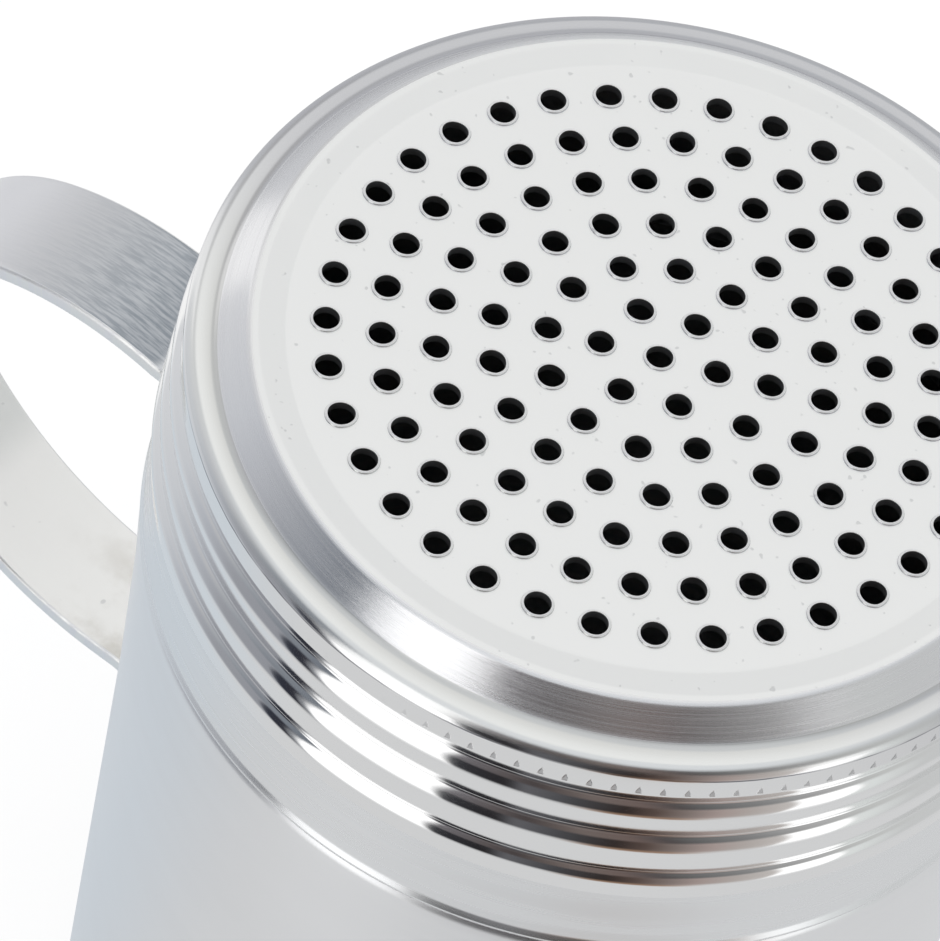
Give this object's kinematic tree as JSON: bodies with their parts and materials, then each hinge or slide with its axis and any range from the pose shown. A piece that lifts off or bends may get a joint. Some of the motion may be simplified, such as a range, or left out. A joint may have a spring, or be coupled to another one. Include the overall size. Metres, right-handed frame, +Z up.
{
  "type": "handled spice shaker",
  "caption": "Aluminium shaker with a strap handle and a lift-off lid whose flat top is perforated for shaking out salt, sugar or spices.",
  "frame": {"origin": "centre of the base, on the surface the shaker stands on", "axes": "+Z up along the can's axis, -X towards the strap handle, +Y to the left of the handle seen from behind it"},
  "size_m": [0.1007, 0.0698, 0.095],
  "materials": {
    "can_aluminium": "satin drawn sheet",
    "lid_aluminium": "satin top, polished rolled beads",
    "handle_aluminium": "brushed strap with fine scratches"
  },
  "bodies": {
    "shaker": {"can_body": "can_aluminium", "strap_handle": "handle_aluminium"},
    "lid": {"perforated_lid": "lid_aluminium"}
  },
  "joints": [
    {"name": "lid_lift", "type": "slide", "parent": "shaker", "child": "lid", "axis": [0, 0, 1], "range_m": [0, 0.04]}
  ]
}
